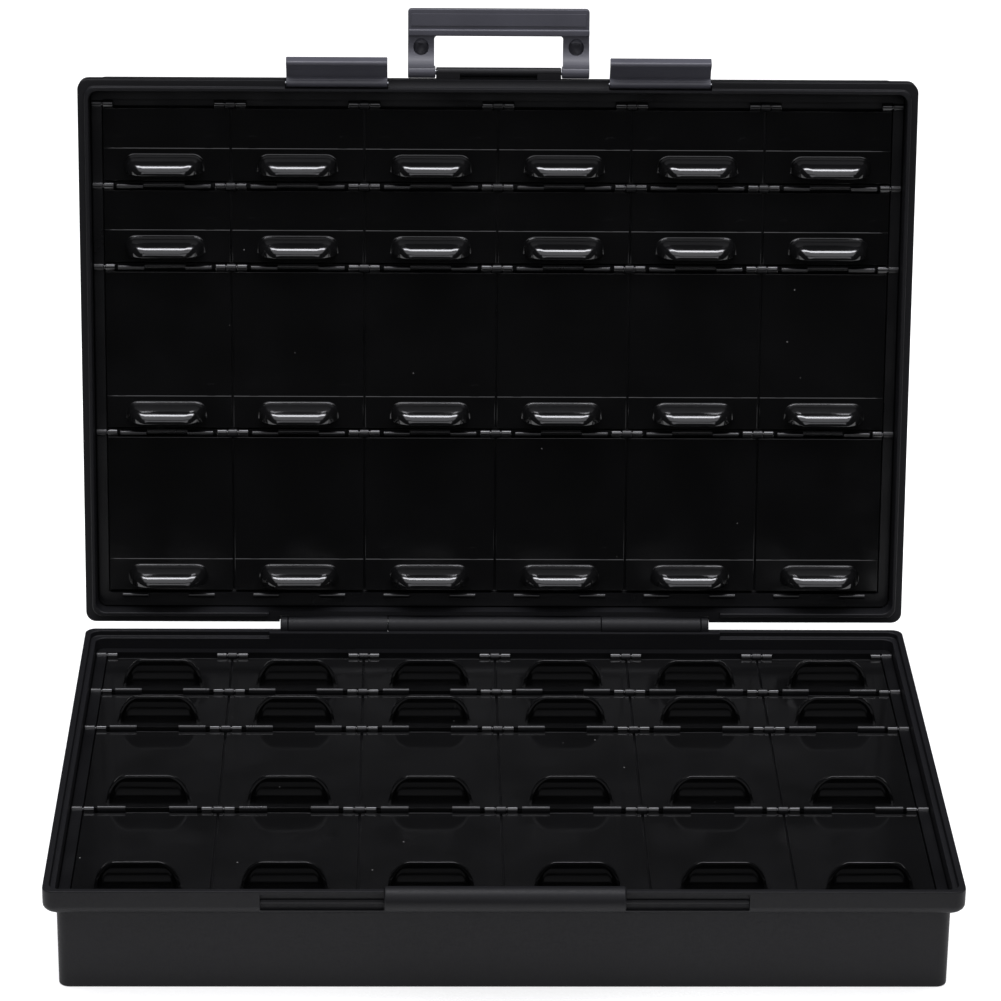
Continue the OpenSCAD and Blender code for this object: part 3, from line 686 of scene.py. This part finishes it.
# Small lids: a stepped panel, a scooped thumb hood and two knuckles with trunnions
smallLid = {
    "panel": (25.8, 27.0),
    "panelEdge": 0.08,
    "step": 0.14,  # the hinge side of the panel lies lower by this
    "stepRun": 0.19,
    "stepAt": 11.8,  # from the catch line
    "creaseAngle": 20,  # sharper folds than this stay sharp, so the step shows as a crease
    "edgeGap": 1.6,
    "knuckle": (1.15, 3.2),
    "webReach": 2.2,
    "webInset": (0.05, 0.03),  # from the knuckle's ends, and below the panel
    "trunnion": (0.75, 1.5),
    "hoodLip": 4.6,  # from the catch line
    "hood": (5.2, 7.2, 5.2, 9.2),  # half of the flat crest, then the arch's width, depth and height
    "hoodTurns": (5, 13, 21, 29, 36, 42, 48, 53, 57, 61, 65, 69, 73, 77, 80),  # degrees up the arch
    "hoodWall": 0.85,
    "hoodAngle": 45,
    "footFacing": -0.9,  # faces that look down more than this leave the hood open
    "flare": 0.45,  # fillet between the panel and the hood
    "flareTurns": (0, 20, 40, 60, 78),
    "lipRound": 0.38,
    "hoodRound": 3.6,  # back corners of the hood's foot
    "mark": (2.2, 14.2, 13.7),  # ejector marks: radius, from the middle, from the catch line
    "markHeight": (0.2, 0.04, 0.03),  # root above the panel's foot, rise above its top, rounding
    "side": 0.35,  # half the gap between neighbouring panels
}
# half width, half depth and height above the panel: a fillet, then a quarter ellipse from the foot to the crest
crestHalf, archWide, archDeep, archHigh = smallLid["hood"]
flare = smallLid["flare"]
hoodStations = []
for turn in map(math.radians, smallLid["flareTurns"]):
    out, rise = 1 - math.sin(turn), 1 - math.cos(turn)
    hoodStations.append((crestHalf + archWide + flare * out, archDeep + flare * out, flare * rise))
for turn in map(math.radians, smallLid["hoodTurns"]):
    hoodStations.append((crestHalf + archWide * math.cos(turn), archDeep * math.cos(turn), archHigh * math.sin(turn)))


def makePanel(length, lowX, highX):
    panelFoot, panelTop = smallLid["panel"]
    stepY, stepRun = -length + smallLid["stepAt"], smallLid["stepRun"]
    free, near = -length + smallLid["edgeGap"], -smallLid["edgeGap"]
    panel = blockAt((lowX, free, panelFoot), (highX, near, panelTop), radius=0)
    for y in (stepY, stepY + stepRun):
        sliceAt(panel, (0, y, 0), (0, 1, 0))
    shiftPoints(panel, lambda p: p.z > panelTop - slack and p.y > stepY + stepRun / 2, z=-smallLid["step"])
    softenEdges(panel, smallLid["panelEdge"], steps=2, angle=50)
    smoothBy(panel, smallLid["creaseAngle"])
    return panel


def makeHood(length):
    panelTop = smallLid["panel"][1]
    lipY = -length + smallLid["hoodLip"]
    hood = liftOutline([(w, d, panelTop + z) for w, d, z in hoodStations], smallLid["hoodRound"], steps=6)
    settle(hood, moved(y=lipY))
    sliceAt(hood, (0, lipY, 0), (0, 1, 0), clear_inner=True)
    pick(hood, "FACE", lambda c, n: n.z < smallLid["footFacing"])
    bpy.ops.mesh.delete(type="FACE")
    bpy.ops.mesh.select_all(action="SELECT")
    bpy.ops.mesh.normals_make_consistent(inside=False)
    bpy.ops.object.mode_set(mode="OBJECT")
    makeActive(hood)
    wall = hood.modifiers.new("wall", "SOLIDIFY")
    wall.thickness = smallLid["hoodWall"] * mm
    wall.offset = -1
    wall.use_even_offset = True
    bpy.ops.object.modifier_apply(modifier=wall.name)
    softenEdges(hood, smallLid["lipRound"], steps=4, angle=50)
    smoothBy(hood, smallLid["hoodAngle"])
    return hood


def makeSmallLid(length, lowX, highX, pinLow, pinHigh):
    panel, hood = makePanel(length, lowX, highX), makeHood(length)
    panelFoot, panelTop = smallLid["panel"]
    lowTop = panelTop - smallLid["step"]
    parts = []
    markRadius, markX, markAt = smallLid["mark"]
    markRoot, markRise, markRim = smallLid["markHeight"]
    for x in (-markX, markX):
        parts.append(discAt(markRadius, x, -length + markAt, panelFoot + markRoot, lowTop + markRise, rim=markRim))
    radius, width = smallLid["knuckle"]
    endInset, topInset = smallLid["webInset"]
    thin, reach = smallLid["trunnion"]
    for start, tip in ((pinLow, pinLow - reach), (pinHigh - width, pinHigh + reach)):
        parts.append(rodAt(radius, start, start + width, 0, axisZ, rim=0.25, sides=28))
        parts.append(blockAt((start + endInset, -smallLid["webReach"], axisZ - radius),
                             (start + width - endInset, 0, lowTop - topInset), radius=0.1))
        parts.append(rodAt(thin, *sorted((start + width / 2, tip)), 0, axisZ, rim=0.1, sides=20))
    flat = shadeOff(joinAll(parts, "flatParts"), angle=35)
    return joinAll([flat, panel, hood], "smallLid")


halfPitch = pitch / 2
sideIn = openHalf - clear - 2 * pitch - halfPitch  # outer edge of an end column's lid from its middle
plain, pinAt = halfPitch - smallLid["side"], halfPitch - rodHalf - clear
kinds = {"left": (-sideIn, plain, -sideIn, pinAt), "inner": (-plain, plain, -pinAt, pinAt),
         "right": (-plain, sideIn, -pinAt, sideIn)}
rowLengths = [far - near for near, far in zip(box["lines"], box["lines"][1:])]
patterns = {}
for r in (0, 2):  # the first two rows share a length, and so do the last two
    for kind, spans in kinds.items():
        patterns[r, kind] = makeSmallLid(rowLengths[r], *spans)
for r in range(rowCount):
    for c in range(columnCount):
        kind = "left" if c == 0 else "right" if c == columnCount - 1 else "inner"
        place = moved(x=columnLow(c) + halfPitch, y=lineY[r])
        for half, matrix in (("base", place), ("top", openLid @ flipOver @ place)):
            piece = twin(patterns[r // 2 * 2, kind], matrix)
            name = f"{half}_lid_r{r + 1}_c{c + 1}"
            piece.name = piece.data.name = f"{half}LidSkin_r{r + 1}_c{c + 1}"
            dress(piece, polishedStyrene, "lid_plastic", name, name)
for pattern in patterns.values():
    bpy.data.objects.remove(pattern)
print("small lids made:", 2 * rowCount * columnCount)


# Latches: a flap with a ramped nose on a long eye, made shut and then swung open
def makeLatch(side):
    lowX, highX = side * latch["middle"] - latch["half"], side * latch["middle"] + latch["half"]
    y, z = latch["axis"]
    flapOut, flapIn = latch["flap"]
    flapLow, flapHigh = latch["flapHeight"]
    reach, noseTop, rampTop = latch["nose"]
    flap = blockAt((lowX, flapOut, flapLow), (highX, flapIn, flapHigh), radius=0)
    for height in (noseTop, rampTop):
        sliceAt(flap, (0, 0, height), (0, 0, 1))
    # the nose reaches in at the tip and runs out along the flap
    shiftPoints(flap, lambda p: p.y > flapIn - slack and p.z < noseTop + slack, y=reach - flapIn)
    roundEdges(flap, latch["tipRound"], 4, lambda a, b: alongX(a, b) and a.z < flapLow + slack and a.y < flapIn)
    roundEdges(flap, latch["noseRound"], 6, lambda a, b: alongX(a, b) and a.z < flapLow + slack and a.y > flapIn)
    roundEdges(flap, latch["crestRound"], 5,
               lambda a, b: alongX(a, b) and a.z > flapHigh - slack and a.y < flapOut + slack)
    softenEdges(flap, latch["edge"], steps=2, angle=50)
    armFoot, armTop = latch["arm"], z + latch["eye"]
    footRound, topRound = latch["armRound"]
    arm = blockAt((lowX, flapIn - latch["armLap"][0], armFoot), (highX, y + latch["armLap"][1], armTop), radius=0)
    roundEdges(arm, footRound, 5, lambda a, b: alongX(a, b) and a.z < armFoot + slack and a.y > y)
    roundEdges(arm, topRound, 5, lambda a, b: alongX(a, b) and a.z > armTop - slack and a.y < flapIn)
    eye = rodAt(latch["eye"], lowX, highX, y, z)
    piece = joinAll([flap, arm, eye], "latchLeftSkin" if side < 0 else "latchRightSkin")
    settle(piece, openLid @ turnAbout(y, z, -latch["open"]))
    return shadeOff(piece)


for side, name in ((-1, "latch_left"), (1, "latch_right")):
    dress(makeLatch(side), silkNylon, "latch_plastic", name, name)
print("latches made")

# Handle: a plate with a rounded window, a grip lip, and legs that sweep out to the eyes, with an oval dimple each
half, gripFoot = handle["half"], handle["gripFoot"]
plateLow, plateHigh = handle["plate"]
plate = blockAt((-half, handle["end"], plateLow), (half, handleY + handle["eye"], plateHigh), radius=0)
roundEdges(plate, handle["corner"], 5, lambda a, b: upright(a, b) and a.y < handle["end"] + slack)
softenEdges(plate, handle["edge"])
pastY, pastZ = handle["windowPast"]
window = blockAt((-handle["leg"], gripFoot, plateLow - pastZ),
                 (handle["leg"], handleY + pastY, plateHigh + pastZ), radius=0)
cutWith(plate, roundEdges(window, handle["corner"], 5, upright))
dimpleX, dimpleY, dimpleWide, dimpleLong, dimpleDeep = handle["dimple"]


def scoopAt(side):
    clearPick()
    bpy.ops.mesh.primitive_uv_sphere_add(segments=40, ring_count=24, radius=1,
                                         location=(side * dimpleX * mm, dimpleY * mm, plateLow * mm))
    scoop = bpy.context.object
    scoop.scale = (dimpleWide * mm, dimpleLong * mm, dimpleDeep * mm)
    return settle(scoop)


def makeLeg(side):
    backGap, topGap, drop = handle["legEnd"]
    lowX, highX = span(side, handle["leg"], half)
    leg = blockAt((lowX, handle["sweep"][0][0], plateLow),
                  (highX, handleY + handle["eye"] - backGap, plateHigh - topGap), radius=0)
    for y, z in handle["sweep"][1:]:
        sliceAt(leg, (0, y, 0), (0, 1, 0))
    for y, z in handle["sweep"][1:]:
        shiftPoints(leg, lambda p: p.z < plateLow + slack and abs(p.y - y) < slack, z=z - plateLow)
    shiftPoints(leg, lambda p: p.z < plateLow + slack and p.y > handleY, z=handleZ - drop - plateLow)
    return softenEdges(cutWith(leg, scoopAt(side)), 0.3, angle=55)


parts = [plate]
lipY, lipZ = handle["lip"]
padTop, padFoot, padRise = handle["pad"]
padHalf = half - handle["padInset"]
parts.append(blockAt((-half, lipY, lipZ), (half, gripFoot, plateLow + handle["lipLap"]), radius=0.5, steps=4))
parts.append(blockAt((-padHalf, padTop, plateLow - padRise),
                     (padHalf, padFoot, plateLow + handle["padLap"]), radius=0.15))
for side in (-1, 1):
    cutWith(plate, scoopAt(side))
    parts.append(makeLeg(side))
    lowX, highX = span(side, handle["leg"] - handle["eyeReach"], half)
    parts.append(rodAt(handle["eye"], lowX, highX, handleY, handleZ, rim=0.35))
grip = shadeOff(joinAll(parts, "handleSkin"))
settle(grip, openLid)
dress(grip, silkNylon, "latch_plastic", "handle", "handle")
print("handle made")

# Studio: pale floor, soft lamps above and in front, and black felt all round that only reflections see
stage = {
    "floor": ((-3.0, -0.22), (3.0, 3.0)),
    "floorColour": "#d2d2d2",
    "glow": 0.56,
    "ambient": 0.54,
    # lamps: place, size, power, target
    "softbox": ((0.0, 0.07, 1.05), (1.2, 0.17), 10.5, (0, 0.03, 0.08)),
    "diffuser": ((0.0, -0.22, 1.12), (1.6, 1.08), 8.5, (0, -0.2, 0.08)),  # wide and dim, above the softbox
    "fill": ((0.0, -1.3, 0.95), (1.4, 0.7), 5.2, (0, 0, 0.08)),
    "tint": (0.95, 0.95, 1.0),  # cool white lamps
    "room": ((-3.2, -2.2, -1.0), (3.2, 3.2, 2.4)),
    "felt": {"dark": "#0a0a0a", "pale": "#101010", "nap": 3.0},
}


def seenMask(tree):
    # 1 for what the camera sees directly, in a reflection or through something, and 0 for other light
    rays = addNode(tree, "ShaderNodeLightPath", {}).outputs
    seen = rays["Is Camera Ray"]
    for kind in ("Is Glossy Ray", "Is Transmission Ray"):
        seen = addNode(tree, "ShaderNodeMath", {"operation": "MAXIMUM"}, (0, seen), (1, rays[kind])).outputs[0]
    return seen


(floorLowX, floorLowY), (floorHighX, floorHighY) = stage["floor"]
clearPick()
bpy.ops.mesh.primitive_plane_add(size=1, location=((floorLowX + floorHighX) / 2, (floorLowY + floorHighY) / 2, 0))
floor = bpy.context.object
floor.name = "floor"
floor.scale = (floorHighX - floorLowX, floorHighY - floorLowY, 1)
settle(floor)
paper, tree, spot = startMaterial("studioPaper")
level = addNode(tree, "ShaderNodeMath", {"operation": "MULTIPLY", 1: stage["glow"]}, (0, seenMask(tree)))
matt = addNode(tree, "ShaderNodeBsdfDiffuse", {"Color": linear(stage["floorColour"])})
glow = addNode(tree, "ShaderNodeEmission", {"Color": (1, 1, 1, 1)}, ("Strength", level.outputs[0]))
both = addNode(tree, "ShaderNodeAddShader", {}, (0, matt.outputs[0]), (1, glow.outputs[0]))
closeMaterial(tree, both)
floor.data.materials.append(paper)

roomLow, roomHigh = stage["room"]
clearPick()
bpy.ops.mesh.primitive_cube_add(size=1, location=[(a + b) / 2 for a, b in zip(roomLow, roomHigh)])
drapes = bpy.context.object
drapes.name = "drapes"
drapes.scale = [b - a for a, b in zip(roomLow, roomHigh)]
settle(drapes)
felt, tree, spot = startMaterial("blackFelt")
tone = toneOf(tree, stage["felt"], noiseOf(tree, spot, stage["felt"]["nap"]))
closeMaterial(tree, addNode(tree, "ShaderNodeBsdfDiffuse", {}, ("Color", tone)))
drapes.data.materials.append(felt)
drapes.visible_camera = drapes.visible_diffuse = drapes.visible_shadow = drapes.visible_transmission = False


def addSoftbox(name, place, size, power, target):
    clearPick()
    bpy.ops.object.light_add(type="AREA", location=place)
    lamp = bpy.context.object
    lamp.name = name
    lamp.data.shape = "RECTANGLE"
    lamp.data.size, lamp.data.size_y = size
    lamp.data.energy = power
    lamp.data.color = stage["tint"]
    lamp.rotation_euler = (Vector(target) - Vector(place)).to_track_quat("-Z", "Y").to_euler()


for name in ("softbox", "diffuser", "fill"):
    addSoftbox(name, *stage[name])

world = bpy.data.worlds.new("studio")
bpy.context.scene.world = world
world.use_nodes = True
tree = world.node_tree
tree.nodes.clear()
dim = addNode(tree, "ShaderNodeBackground", {"Color": (1, 1, 1, 1), "Strength": stage["ambient"]})
white = addNode(tree, "ShaderNodeBackground", {"Color": (1, 1, 1, 1), "Strength": 1.0})
both = addNode(tree, "ShaderNodeMixShader", {}, (0, seenMask(tree)), (1, dim.outputs[0]), (2, white.outputs[0]))
addNode(tree, "ShaderNodeOutputWorld", {}, ("Surface", both.outputs[0]))
bpy.context.scene.view_settings.view_transform = "Standard"
print("studio made")

# Camera at the photograph's place: long lens, looking down on the open box
view = {"place": (-26.94, -1124.04, 601.6), "pitch": 23.37, "yaw": -1.34, "roll": 0.69, "lens": 149.8, "sensor": 36.0}
clearPick()
bpy.ops.object.camera_add(location=[v * mm for v in view["place"]])
camera = bpy.context.object
aim = Matrix.Rotation(math.radians(view["yaw"]), 4, "Z") @ Matrix.Rotation(math.radians(90 - view["pitch"]), 4, "X")
camera.rotation_euler = (aim @ Matrix.Rotation(math.radians(view["roll"]), 4, "Z")).to_euler()
camera.data.lens = view["lens"]
camera.data.sensor_width = view["sensor"]
camera.data.sensor_fit = "HORIZONTAL"
bpy.context.scene.camera = camera
